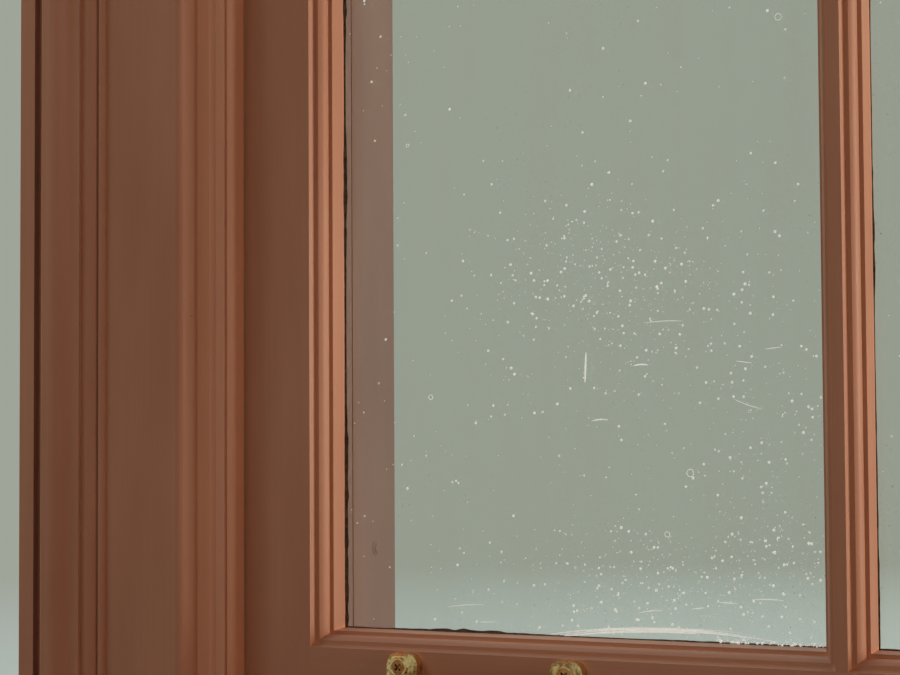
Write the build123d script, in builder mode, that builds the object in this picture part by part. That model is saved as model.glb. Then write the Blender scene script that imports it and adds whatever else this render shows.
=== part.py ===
from build123d import *
import math
import os

# A box-frame sash window: two sliding six-pane sashes hung on cords and iron
# weights inside hollow timber jambs. Millimetres. The sashes lie in the XZ
# plane, the room is on the -Y side and outdoors on the +Y side. The origin is
# on the underside of the sill, half way along it and half way through it.

# Glazing moulding, measured from the face of the sash into the opening
bevel_w, bevel_d = 1.1, 4.1
upper_ledge = 2.2
ovolo_w, ovolo_d = 2.3, 7.5
lower_ledge = 2.1
riser_w, riser_d = 0.6, 11.7
round_fullness = 0.7071

# Sashes
sash_t = 45.0
pane_w, pane_h = 265.6, 400.0
pane_columns, pane_rows = 3, 2
bar_nose = 5.9
stile_flat = 47.0
bottom_rail_flat = 72.0
meeting_rail_flat = 34.0
top_rail_flat = 47.0
tenon_t, tenon_l, tenon_shoulder = 14.0, 30.0, 9.0
glass_t = 4.0
glass_edge_gap = 1.0
putty_sight, putty_lip, putty_back_gap = 7.0, 0.8, 1.0
horn_drop, horn_foot_w, horn_shoulder = 48.0, 21.0, 14.4
horn_hollow_in, horn_hollow_up = 29.0, 21.6
meeting_gap = 0.8
meeting_bevel = 2.5

# Running clearances
face_gap = 0.8
bead_gap = 1.0
side_gap = 1.5

# Box frame
lining_t = 15.0
parting_bead_t, parting_bead_w, parting_bead_housed = 10.0, 18.0, 8.0
pulley_stile_t = 22.0
weight_space = 52.0
back_lining_t = 10.0
outer_lining_t = 24.0
outer_lining_projection = 16.3
outer_casing_t = 26.0
outer_casing_overhang, outer_casing_chamfer = 15.0, 4.0
head_t = 24.0
head_lining_h = 62.0
parting_slip_t = 6.0
parting_slip_clear = 8.0
parting_slip_end = 190.0
pocket_low, pocket_high, pocket_slant = 170.0, 560.0, 14.0

# Sill and window board
sill_h, sill_depth, sill_overhang = 70.0, 190.0, 15.0
sill_flat, sill_fall = 50.0, 26.0
drip_w, drip_d, drip_inset = 8.0, 6.0, 16.0
board_t, board_depth, board_overhang, board_nose_r = 22.0, 78.0, 28.0, 9.2

# Staff bead section: its face falls towards the nose beside the sash
bead_w, bead_t, bead_cover = 20.3, 14.0, 6.7
bead_fall, bead_nose_w, bead_nose_d = 3.0, 3.0, 4.2
bead_flute_w, bead_flute_d, bead_flute_in = 4.0, 0.7, 9.6
bead_quirk_w, bead_quirk_d, bead_quirk_in = 1.6, 1.4, 3.3

# Architrave section, measured outwards from its inner edge and out from the wall
arch_w, arch_t = 101.4, 25.0
arch_edge_w, arch_edge_t, arch_edge_round_w = 3.0, 23.0, 5.4
arch_fascia_end, arch_bead_r = 51.4, 2.5
arch_ovolo_w, arch_ovolo_d, arch_ledge_w = 6.6, 5.0, 1.6
arch_step_d = 2.0
arch_cove_w, arch_cove_d = 8.9, 3.0
arch_roll_w, arch_roll_d, arch_roll_top_w = 9.1, 3.0, 2.1
arch_groove_round, arch_groove_w, arch_groove_d = 1.8, 5.3, 4.0
arch_band_step = 2.0

# Pulleys, cords and weights
cord_r = 3.0
cord_in_sash = 6.0
cord_groove_w, cord_groove_d, cord_groove_l = 12.0, 13.0, 260.0
knot_r, knot_hole_r, knot_hole_d = 6.0, 8.0, 18.0
wheel_cord_r, wheel_rim_r, wheel_t = 25.0, 27.0, 10.0
wheel_hub_r, wheel_hub_t, wheel_land = 8.0, 12.0, 1.0
cord_seat_gap = 0.3
axle_r, axle_gap = 4.0, 0.05
pulley_drop = 130.0
case_plate_w, case_plate_h, case_plate_t = 23.0, 116.0, 3.0
case_cheek_t, case_cheek_gap, case_cheek_h = 2.0, 0.5, 60.0
case_slot_h = 52.0
case_back = 3.0
mortise_gap = 0.5
weight_r, weight_l = 18.0, 700.0
weight_shoulder, weight_neck_r, weight_foot_chamfer = 14.0, 8.0, 3.0
weight_eye_r, weight_eye_d = 3.3, 30.0
weight_cord_in = 24.0
lower_weight_drop, weight_floor_gap = 95.0, 118.0

# Sash lifts, measured on the face of the bottom rail
lift_from_arris = 103.0
lift_screw_pitch = 92.0
lift_foot_outer, lift_foot_inner = 8.4, 9.5
lift_foot_h, lift_foot_t, lift_foot_round = 28.0, 7.6, 6.0
lift_edge, lift_edge_taper = 1.4, 40.0
lift_collar_r, lift_collar_t, lift_collar_taper = 6.2, 1.2, 34.0
lift_top_gap = 0.6
lift_screw_inset = 6.8
lift_reach, lift_bow_r, lift_bow_in, lift_bow_bend = 29.0, 4.5, 5.0, 10.0
lift_bow_root = 2.0
screw_head_r, screw_dome, screw_angle = 3.6, 0.5, 82.0
screw_shank_r, screw_l, screw_point_l = 1.8, 24.0, 4.0
screw_gap, screw_hole_r = 0.1, 2.0
screw_recess_w, screw_recess_l, screw_recess_d = 1.0, 4.4, 1.4

# Sash fastener
fastener_plate_w, fastener_plate_d, fastener_plate_t = 58.0, 24.0, 3.0
fastener_plate_round = 6.0
fastener_boss_r, fastener_boss_h = 9.0, 3.0
fastener_pin_r, fastener_pin_h, fastener_pin_gap = 3.0, 6.0, 0.05
fastener_depth = 30.0
arm_l, arm_w, arm_t, arm_hub_r = 34.0, 10.0, 4.0, 8.5
arm_gap = 0.3
arm_knob_r, arm_knob_h, arm_knob_neck_r = 6.0, 14.0, 3.6
keep_w, keep_d, keep_t = 40.0, 20.0, 3.0
keep_over_gap = 4.0
keep_post_w, keep_roof_t, keep_roof_reach = 6.0, 3.0, 15.0
keep_gap = 0.8

os.makedirs("parts", exist_ok=True)

# Sizes that follow from the values above
mould_w = bevel_w + upper_ledge + ovolo_w + lower_ledge + riser_w
mould_d = bevel_d + ovolo_d + riser_d
opening_w = pane_w + 2 * mould_w
opening_h = pane_h + 2 * mould_w
column_pitch = opening_w + bar_nose
row_pitch = opening_h + bar_nose
glazed_w = (pane_columns - 1) * column_pitch + opening_w
glazed_h = (pane_rows - 1) * row_pitch + opening_h
half_sash = glazed_w / 2 + stile_flat

room_y = -sill_depth / 2
lower_y = room_y + face_gap
parting_y = lower_y + sash_t + bead_gap
upper_y = parting_y + parting_bead_t + bead_gap
outer_y = upper_y + sash_t + bead_gap
casing_y = outer_y + outer_lining_t
front_y = casing_y + outer_casing_t
stile_y = room_y + lining_t

jamb_x = half_sash + side_gap
box_x = jamb_x + pulley_stile_t
back_x = box_x + weight_space
frame_x = back_x + back_lining_t
bead_in = half_sash - bead_cover
bead_out = bead_in + bead_w

sash_z = sill_h
lower_top = sash_z + bottom_rail_flat + glazed_h + meeting_rail_flat
upper_z = lower_top - meeting_rail_flat
upper_top = upper_z + meeting_rail_flat + glazed_h + top_rail_flat
soffit_z = upper_top + side_gap
frame_top = soffit_z + head_lining_h
bead_in_z = upper_top - bead_cover
bead_out_z = bead_in_z + bead_w

keep_y = upper_y - keep_over_gap
pulley_z = soffit_z - pulley_drop
cord_x = half_sash - cord_in_sash
axle_x = cord_x + wheel_cord_r
weight_x = axle_x + wheel_cord_r
lower_cord_y = stile_y + weight_r + bead_gap + face_gap - cord_seat_gap
upper_cord_y = upper_y + sash_t / 2 + face_gap
slip_y = (lower_cord_y + upper_cord_y) / 2


def sill_top(y):
    """Height of the weathered top of the sill at depth y."""
    beyond = max(0.0, y - room_y - sill_flat)
    return sill_h - beyond * sill_fall / (sill_depth - sill_flat)


def span_box(x, y, z, mode=Mode.ADD):
    """Add or cut a box that fills three spans, given as pairs."""
    centre = [(low + high) / 2 for low, high in (x, y, z)]
    size = [abs(high - low) for low, high in (x, y, z)]
    with Locations(Location(centre)):
        Box(*size, mode=mode)


def save(builder, name):
    """Label one finished piece and write it."""
    builder.part.label = name
    export_step(builder.part, f"parts/{name}.step")


def save_pair(builder, name):
    """Write the right-hand piece and its mirror image on the left."""
    save(builder, f"{name}_right")
    with BuildPart() as left:
        mirror(builder.part, about=Plane.YZ)
    save(left, f"{name}_left")


def upright_plane(x, y, z):
    """Section plane of an upright: local x outwards, local y to the room."""
    return Plane(origin=(x, y, z), x_dir=(1, 0, 0), z_dir=(0, 0, -1))


def head_plane(x, y, z):
    """Section plane of a head piece: local x up, local y to the room."""
    return Plane(origin=(x, y, z), x_dir=(0, 0, 1), z_dir=(1, 0, 0))


def foot_plane(x, y, z):
    """Section plane of a bottom piece: local x down, local y to the room."""
    return Plane(origin=(x, y, z), x_dir=(0, 0, -1), z_dir=(-1, 0, 0))


# Mouldings


def rounded(start, corner, end):
    """Draw the arc from start to end that rounds off the corner between them."""
    pull = 1 - round_fullness
    middle = [c + pull * (a + b - 2 * c) for a, c, b in zip(start, corner, end)]
    ThreePointArc(start, tuple(middle), end)


def glazing_section():
    """Draw bevel, ledge, ovolo, ledge and riser, with local y to the room."""
    a = (bevel_w, -bevel_d)
    b = (bevel_w + upper_ledge, -bevel_d)
    c = (b[0] + ovolo_w, -bevel_d - ovolo_d)
    d = (c[0] + lower_ledge, c[1])
    with BuildSketch() as section:
        with BuildLine():
            Polyline((0, -mould_d), (0, 0), a, b)
            rounded(b, (c[0], b[1]), c)
            Polyline(c, d, (mould_w, -mould_d), (0, -mould_d))
        make_face()
    return section.sketch


def staff_bead_section():
    """Draw the staff bead: nose, quirk, flat, shallow flute and flat."""
    quirk_end = bead_quirk_in + bead_quirk_w
    flute_end = bead_flute_in + bead_flute_w

    def face(x, sunk=0.0):
        """The point of the sloping face at x, or one sunk below it."""
        return x, bead_t - bead_fall * (1 - x / bead_w) - sunk

    with BuildSketch() as section:
        with BuildLine():
            nose_foot = (0, face(0)[1] - bead_nose_d)
            Line((0, 0), nose_foot)
            rounded(nose_foot, face(0), face(bead_nose_w))
            Polyline(
                face(bead_nose_w),
                face(bead_quirk_in),
                face(bead_quirk_in + bead_quirk_w / 2, bead_quirk_d),
                face(quirk_end),
                face(bead_flute_in),
            )
            ThreePointArc(
                face(bead_flute_in),
                face(bead_flute_in + bead_flute_w / 2, bead_flute_d),
                face(flute_end),
            )
            Polyline(face(flute_end), face(bead_w), (bead_w, 0), (0, 0))
        make_face()
    return section.sketch


def architrave_section():
    """Draw the architrave: edge, fascia, bead, ovolo, step, cove, roll, groove and outer band."""
    with BuildSketch() as section:
        with BuildLine():
            edge = (arch_edge_w, arch_edge_t)
            fascia = (arch_edge_w + arch_edge_round_w, arch_t)
            Polyline((0, 0), (0, bead_t), edge)
            rounded(edge, (arch_edge_w, arch_t), fascia)
            bead = (arch_fascia_end, arch_t)
            Line(fascia, bead)
            ovolo = (arch_fascia_end + 2 * arch_bead_r, arch_t)
            ThreePointArc(bead, (arch_fascia_end + arch_bead_r, arch_t + arch_bead_r), ovolo)
            ledge = (ovolo[0] + arch_ovolo_w, arch_t + arch_ovolo_d)
            rounded(ovolo, (ovolo[0], ledge[1]), ledge)
            step = (ledge[0] + arch_ledge_w, ledge[1])
            cove = (step[0], step[1] + arch_step_d)
            Polyline(ledge, step, cove)
            roll = (cove[0] + arch_cove_w, cove[1] + arch_cove_d)
            rounded(cove, (roll[0], cove[1]), roll)
            roll_top = (roll[0] + arch_roll_w, roll[1] + arch_roll_d)
            rounded(roll, (roll[0], roll_top[1]), roll_top)
            top_end = (roll_top[0] + arch_roll_top_w, roll_top[1])
            Line(roll_top, top_end)
            drop = (top_end[0] + arch_groove_round, top_end[1] - arch_groove_round)
            rounded(top_end, (drop[0], top_end[1]), drop)
            band_x = drop[0] + arch_groove_w
            band_t = roll_top[1] - arch_band_step
            floor_t = band_t - arch_groove_d
            Polyline(
                drop,
                (drop[0], floor_t),
                (band_x, floor_t),
                (band_x, band_t),
                (arch_w, band_t),
                (arch_w, 0),
                (0, 0),
            )
        make_face()
    return section.sketch


def mitred_bar(section, plane, length, outline, depth):
    """Run a section along a plane's normal and trim it to an outline drawn in XZ."""
    with BuildPart() as bar:
        with BuildSketch(plane):
            add(section)
        extrude(amount=length)
        with BuildSketch(Plane.XZ.offset(-depth[1])):
            with BuildLine():
                Polyline(*outline, outline[0])
            make_face()
        extrude(amount=depth[1] - depth[0], mode=Mode.INTERSECT)
    return bar


mould_depth = (0.0, mould_d)
side_outline = [(0, 0), (mould_w, mould_w), (mould_w, opening_h - mould_w), (0, opening_h)]
foot_outline = [(0, 0), (opening_w, 0), (opening_w - mould_w, mould_w), (mould_w, mould_w)]
side_strip = mitred_bar(
    glazing_section(), upright_plane(0, 0, opening_h), opening_h, side_outline, mould_depth
)
foot_strip = mitred_bar(
    glazing_section(), head_plane(0, 0, 0), opening_w, foot_outline, mould_depth
)
with BuildPart() as far_side_strip:
    mirror(side_strip.part, about=Plane.YZ)
with BuildPart() as top_strip:
    mirror(foot_strip.part, about=Plane.XY)


# Sashes


def column_x(column):
    """Left arris of a column of panes."""
    return -glazed_w / 2 + column * column_pitch


def build_sash(name, y, z, bottom_flat, top_flat, cord_y, is_upper):
    """Make the stiles, rails, bars, panes and putty of one sash."""
    glazed_z = z + bottom_flat
    top = glazed_z + glazed_h + top_flat
    rows = [glazed_z + row * row_pitch for row in range(pane_rows)]
    columns = [column_x(column) for column in range(pane_columns)]
    back = y + sash_t
    tenon_y = (y + (sash_t - tenon_t) / 2, y + (sash_t + tenon_t) / 2)
    rails = ((z, glazed_z), (glazed_z + glazed_h, top))
    arris = glazed_w / 2

    with BuildPart() as stile:
        span_box((arris, half_sash), (y, back), (z, top))
        with Locations(*[(arris, y, row) for row in rows]):
            add(far_side_strip.part)
        for low, high in rails:
            span_box(
                (arris, arris + tenon_l),
                tenon_y,
                (low + tenon_shoulder, high - tenon_shoulder),
                mode=Mode.SUBTRACT,
            )
        groove_y = (cord_y - cord_groove_w / 2, cord_y + cord_groove_w / 2)
        knot_z = top - cord_groove_l
        span_box(
            (half_sash - cord_groove_d, half_sash), groove_y, (knot_z, top), mode=Mode.SUBTRACT
        )
        with Locations(Plane(origin=(half_sash, cord_y, knot_z), z_dir=(1, 0, 0))):
            Hole(knot_hole_r, depth=knot_hole_d)
        if is_upper:
            with BuildSketch(Plane.XZ.offset(-back)):
                with BuildLine():
                    Polyline(
                        (arris, z),
                        (half_sash, z),
                        (half_sash, z - horn_drop),
                        (half_sash - horn_foot_w, z - horn_drop),
                    )
                    ThreePointArc(
                        (half_sash - horn_foot_w, z - horn_drop),
                        (half_sash - horn_hollow_in, z - horn_drop + horn_hollow_up),
                        (arris, z - horn_shoulder),
                    )
                    Line((arris, z - horn_shoulder), (arris, z))
                make_face()
            extrude(amount=sash_t)
    save_pair(stile, f"{name}_stile")

    for part, (low, high), edge, strip in (
        ("bottom_rail" if not is_upper else "meeting_rail", rails[0], glazed_z, foot_strip),
        ("meeting_rail" if not is_upper else "top_rail", rails[1], glazed_z + glazed_h, top_strip),
    ):
        with BuildPart() as rail:
            span_box((-arris, arris), (y, back), (low, high))
            span_box(
                (-arris - tenon_l, arris + tenon_l),
                tenon_y,
                (low + tenon_shoulder, high - tenon_shoulder),
            )
            with Locations(*[(x, y, edge) for x in columns]):
                add(strip.part)
            if part == "meeting_rail":
                middle_y = parting_y + parting_bead_t / 2
                half_gap = meeting_gap / 2
                if is_upper:
                    low_y, high_y, root_y = (
                        middle_y + half_gap - meeting_bevel,
                        middle_y + half_gap,
                        y,
                    )
                else:
                    low_y, high_y, root_y = (
                        middle_y - half_gap - meeting_bevel,
                        middle_y - half_gap,
                        back,
                    )
                reach = jamb_x - parting_bead_w + parting_bead_housed - side_gap
                with BuildSketch(Plane.YZ.offset(-reach)):
                    with BuildLine():
                        Polyline(
                            (root_y, low), (low_y, low), (high_y, high), (root_y, high), (root_y, low)
                        )
                    make_face()
                extrude(amount=2 * reach)
            if part == "meeting_rail" and is_upper:
                span_box(
                    (-keep_w / 2, keep_w / 2),
                    (y, keep_y + keep_d),
                    (edge, edge + mould_w),
                    mode=Mode.SUBTRACT,
                )
            if part == "bottom_rail":
                for x, screw_z in lift_screw_places():
                    with Locations(Plane(origin=(x, y, screw_z), z_dir=(0, -1, 0))):
                        Hole(screw_hole_r, depth=screw_l - lift_foot_t)
        save(rail, f"{name}_{part}")

    with BuildPart() as vertical_bars:
        for left in columns[1:]:
            span_box((left - bar_nose, left), (y, back), (glazed_z, glazed_z + glazed_h))
            with Locations(*[(left, y, row) for row in rows]):
                add(side_strip.part)
            with Locations(*[(left - bar_nose, y, row) for row in rows]):
                add(far_side_strip.part)
    save(vertical_bars, f"{name}_vertical_bars")

    with BuildPart() as cross_bars:
        for left in columns:
            for row in rows[1:]:
                span_box((left, left + opening_w), (y, back), (row - bar_nose, row))
                with Locations((left, y, row)):
                    add(foot_strip.part)
                with Locations((left, y, row - bar_nose)):
                    add(top_strip.part)
    save(cross_bars, f"{name}_cross_bars")

    glass_y = y + mould_d
    with BuildPart() as panes:
        for left in columns:
            for row in rows:
                span_box(
                    (left + glass_edge_gap, left + opening_w - glass_edge_gap),
                    (glass_y, glass_y + glass_t),
                    (row + glass_edge_gap, row + opening_h - glass_edge_gap),
                )
    save(panes, f"{name}_panes")

    putty_y = glass_y + glass_t
    putty_end = back - putty_back_gap
    with BuildPart() as putty:
        for left in columns:
            for row in rows:
                middle = (left + opening_w / 2, row + opening_h / 2)
                span_box(
                    (left, left + opening_w), (putty_y, putty_end), (row, row + opening_h)
                )
                for depth, inset in ((putty_y, putty_sight), (putty_end, putty_lip)):
                    with BuildSketch(Plane.XZ.offset(-depth)):
                        with Locations(middle):
                            Rectangle(opening_w - 2 * inset, opening_h - 2 * inset)
                loft(mode=Mode.SUBTRACT)
    save(putty, f"{name}_putty")


def lift_centres():
    """The middle of each sash lift along X."""
    return [side * (glazed_w / 2 - lift_from_arris) for side in (-1, 1)]


def lift_screw_heights():
    """Heights of the two screws of a foot, its lower one first."""
    top = sash_z + bottom_rail_flat - lift_top_gap
    return top - lift_foot_h + lift_screw_inset, top - lift_screw_inset


def lift_screw_places():
    """Where the screws of both lifts enter the bottom rail."""
    return [
        (centre + side * lift_screw_pitch / 2, z)
        for centre in lift_centres()
        for side in (-1, 1)
        for z in lift_screw_heights()
    ]


build_sash("lower", lower_y, sash_z, bottom_rail_flat, meeting_rail_flat, lower_cord_y, False)
build_sash("upper", upper_y, upper_z, meeting_rail_flat, top_rail_flat, upper_cord_y, True)


# Jambs, sill and head


def sloped_board(x, y, top):
    """Stand a board on the weathered sill: x and y are its spans."""
    with BuildSketch(Plane.YZ.offset(x[0])) as end_grain:
        with BuildLine():
            corner = room_y + sill_flat
            points = [(y[0], sill_top(y[0]))]
            if y[0] < corner < y[1]:
                points.append((corner, sill_h))
            points += [(y[1], sill_top(y[1])), (y[1], top), (y[0], top)]
            Polyline(*points, points[0])
        make_face()
    extrude(end_grain.sketch, amount=x[1] - x[0])


pocket_y = (stile_y, parting_y)


def pocket_block(mode):
    """The slanted block that lifts out of the pulley stile to reach the weights."""
    with BuildSketch(Plane.XZ.offset(-pocket_y[1])) as face:
        with BuildLine():
            points = [
                (jamb_x, pocket_low),
                (box_x, pocket_low + pocket_slant),
                (box_x, pocket_high + pocket_slant),
                (jamb_x, pocket_high),
            ]
            Polyline(*points, points[0])
        make_face()
    extrude(face.sketch, amount=pocket_y[1] - pocket_y[0], mode=mode)


case_half = wheel_hub_t / 2 + case_cheek_gap + case_cheek_t

with BuildPart() as pulley_stile:
    sloped_board((jamb_x, box_x), (stile_y, outer_y), soffit_z)
    span_box(
        (jamb_x, jamb_x + parting_bead_housed),
        (parting_y, parting_y + parting_bead_t),
        (0, soffit_z),
        mode=Mode.SUBTRACT,
    )
    pocket_block(Mode.SUBTRACT)
    for y in (lower_cord_y, upper_cord_y):
        span_box(
            (jamb_x, jamb_x + case_plate_t),
            (y - case_plate_w / 2, y + case_plate_w / 2),
            (pulley_z - case_plate_h / 2, pulley_z + case_plate_h / 2),
            mode=Mode.SUBTRACT,
        )
        span_box(
            (jamb_x, box_x),
            (y - case_half - mortise_gap, y + case_half + mortise_gap),
            (pulley_z - case_cheek_h / 2 - mortise_gap, pulley_z + case_cheek_h / 2 + mortise_gap),
            mode=Mode.SUBTRACT,
        )
save_pair(pulley_stile, "pulley_stile")

with BuildPart() as pocket_right:
    pocket_block(Mode.ADD)
with BuildPart() as pocket_pieces:
    add(pocket_right.part)
    mirror(pocket_right.part, about=Plane.YZ)
save(pocket_pieces, "pocket_pieces")

with BuildPart() as inner_lining:
    span_box((jamb_x, frame_x), (room_y, stile_y), (sill_h, frame_top))
save_pair(inner_lining, "inner_lining")

with BuildPart() as inner_lining_head:
    span_box((-jamb_x, jamb_x), (room_y, stile_y), (soffit_z, frame_top))
save(inner_lining_head, "inner_lining_head")

lining_in = jamb_x - outer_lining_projection
lining_in_z = soffit_z - outer_lining_projection
with BuildPart() as outer_lining:
    sloped_board((lining_in, frame_x), (outer_y, casing_y), frame_top)
save_pair(outer_lining, "outer_lining")

with BuildPart() as outer_lining_head:
    span_box((-lining_in, lining_in), (outer_y, casing_y), (lining_in_z, frame_top))
save(outer_lining_head, "outer_lining_head")

casing_x = frame_x + outer_casing_overhang
casing_top = frame_top + outer_casing_overhang
with BuildPart() as outer_casing:
    sloped_board((lining_in, casing_x), (casing_y, front_y), casing_top)
    arrises = outer_casing.edges().filter_by(Axis.Z).group_by(Axis.Y)[-1]
    chamfer(arrises.group_by(Axis.X)[-1], outer_casing_chamfer)
save_pair(outer_casing, "outer_casing")

with BuildPart() as outer_casing_head:
    span_box((-lining_in, lining_in), (casing_y, front_y), (lining_in_z, casing_top))
save(outer_casing_head, "outer_casing_head")

with BuildPart() as back_right:
    sloped_board((back_x, frame_x), (stile_y, outer_y), soffit_z)
with BuildPart() as back_linings:
    add(back_right.part)
    mirror(back_right.part, about=Plane.YZ)
save(back_linings, "back_linings")

with BuildPart() as slip_right:
    span_box(
        (box_x + parting_slip_clear, back_x - parting_slip_clear),
        (slip_y - parting_slip_t / 2, slip_y + parting_slip_t / 2),
        (parting_slip_end, soffit_z),
    )
with BuildPart() as parting_slips:
    add(slip_right.part)
    mirror(slip_right.part, about=Plane.YZ)
save(parting_slips, "parting_slips")

with BuildPart() as head:
    span_box((-frame_x, frame_x), (stile_y, outer_y), (soffit_z, soffit_z + head_t))
    span_box(
        (-jamb_x, jamb_x),
        (parting_y, parting_y + parting_bead_t),
        (soffit_z, soffit_z + parting_bead_housed),
        mode=Mode.SUBTRACT,
    )
save(head, "head")

bead_face = jamb_x + parting_bead_housed - parting_bead_w
with BuildPart() as parting_right:
    sloped_board(
        (bead_face, jamb_x + parting_bead_housed),
        (parting_y, parting_y + parting_bead_t),
        soffit_z,
    )
with BuildPart() as parting_beads:
    add(parting_right.part)
    mirror(parting_right.part, about=Plane.YZ)
    head_bead_z = soffit_z + parting_bead_housed - parting_bead_w
    span_box(
        (-bead_face + cord_seat_gap, bead_face - cord_seat_gap),
        (parting_y, parting_y + parting_bead_t),
        (head_bead_z, soffit_z + parting_bead_housed),
    )
save(parting_beads, "parting_beads")

sill_x = frame_x + sill_overhang
with BuildPart() as sill:
    with BuildSketch(Plane.YZ.offset(-sill_x)):
        with BuildLine():
            back_y = room_y + sill_depth
            points = [
                (room_y, 0),
                (back_y - drip_inset - drip_w, 0),
                (back_y - drip_inset - drip_w, drip_d),
                (back_y - drip_inset, drip_d),
                (back_y - drip_inset, 0),
                (back_y, 0),
                (back_y, sill_top(back_y)),
                (room_y + sill_flat, sill_h),
                (room_y, sill_h),
            ]
            Polyline(*points, points[0])
        make_face()
    extrude(amount=2 * sill_x)
save(sill, "sill")

board_x = bead_out + arch_w + board_overhang
with BuildPart() as window_board:
    span_box((-board_x, board_x), (room_y - board_depth, room_y), (sill_h - board_t, sill_h))
    fillet(window_board.edges().filter_by(Axis.X).group_by(Axis.Y)[0], board_nose_r)
save(window_board, "window_board")

# Room-side trim

trim_depth = (room_y - 2 * arch_t, room_y)
bead_low_in = sill_h + bead_w
staff_bead = mitred_bar(
    staff_bead_section(),
    upright_plane(bead_in, room_y, bead_out_z),
    bead_out_z - sill_h,
    [(bead_in, bead_low_in), (bead_out, sill_h), (bead_out, bead_out_z), (bead_in, bead_in_z)],
    trim_depth,
)
save_pair(staff_bead, "staff_bead")
staff_bead_head = mitred_bar(
    staff_bead_section(),
    head_plane(-bead_out, room_y, bead_in_z),
    2 * bead_out,
    [(-bead_in, bead_in_z), (bead_in, bead_in_z), (bead_out, bead_out_z), (-bead_out, bead_out_z)],
    trim_depth,
)
save(staff_bead_head, "staff_bead_head")
staff_bead_foot = mitred_bar(
    staff_bead_section(),
    foot_plane(bead_out, room_y, bead_low_in),
    2 * bead_out,
    [(-bead_in, bead_low_in), (bead_in, bead_low_in), (bead_out, sill_h), (-bead_out, sill_h)],
    trim_depth,
)
save(staff_bead_foot, "staff_bead_foot")

arch_out = bead_out + arch_w
arch_out_z = bead_out_z + arch_w
architrave = mitred_bar(
    architrave_section(),
    upright_plane(bead_out, room_y, arch_out_z),
    arch_out_z - sill_h,
    [(bead_out, sill_h), (arch_out, sill_h), (arch_out, arch_out_z), (bead_out, bead_out_z)],
    trim_depth,
)
save_pair(architrave, "architrave")
architrave_head = mitred_bar(
    architrave_section(),
    head_plane(-arch_out, room_y, bead_out_z),
    2 * arch_out,
    [
        (-bead_out, bead_out_z),
        (bead_out, bead_out_z),
        (arch_out, arch_out_z),
        (-arch_out, arch_out_z),
    ],
    trim_depth,
)
save(architrave_head, "architrave_head")

# Pulleys, cords and weights


def case_solid(cord_y):
    """Face plate, two cheeks and the axle pin of one pulley."""
    back = axle_x + wheel_rim_r + case_back
    span_box(
        (jamb_x, jamb_x + case_plate_t),
        (cord_y - case_plate_w / 2, cord_y + case_plate_w / 2),
        (pulley_z - case_plate_h / 2, pulley_z + case_plate_h / 2),
    )
    span_box(
        (jamb_x, jamb_x + case_plate_t),
        (cord_y - wheel_hub_t / 2 - case_cheek_gap, cord_y + wheel_hub_t / 2 + case_cheek_gap),
        (pulley_z - case_slot_h / 2, pulley_z + case_slot_h / 2),
        mode=Mode.SUBTRACT,
    )
    for side in (-1, 1):
        inner = cord_y + side * (wheel_hub_t / 2 + case_cheek_gap)
        outer = cord_y + side * case_half
        span_box(
            (jamb_x, back),
            (min(inner, outer), max(inner, outer)),
            (pulley_z - case_cheek_h / 2, pulley_z + case_cheek_h / 2),
        )
    with BuildSketch(Plane.XZ.offset(-(cord_y + case_half))) as axle:
        with Locations((axle_x, pulley_z)):
            Circle(axle_r)
    extrude(axle.sketch, amount=2 * case_half)


with BuildPart() as cases_right:
    for cord_y in (lower_cord_y, upper_cord_y):
        case_solid(cord_y)
with BuildPart() as pulley_cases:
    add(cases_right.part)
    mirror(cases_right.part, about=Plane.YZ)
save(pulley_cases, "pulley_cases")

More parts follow.
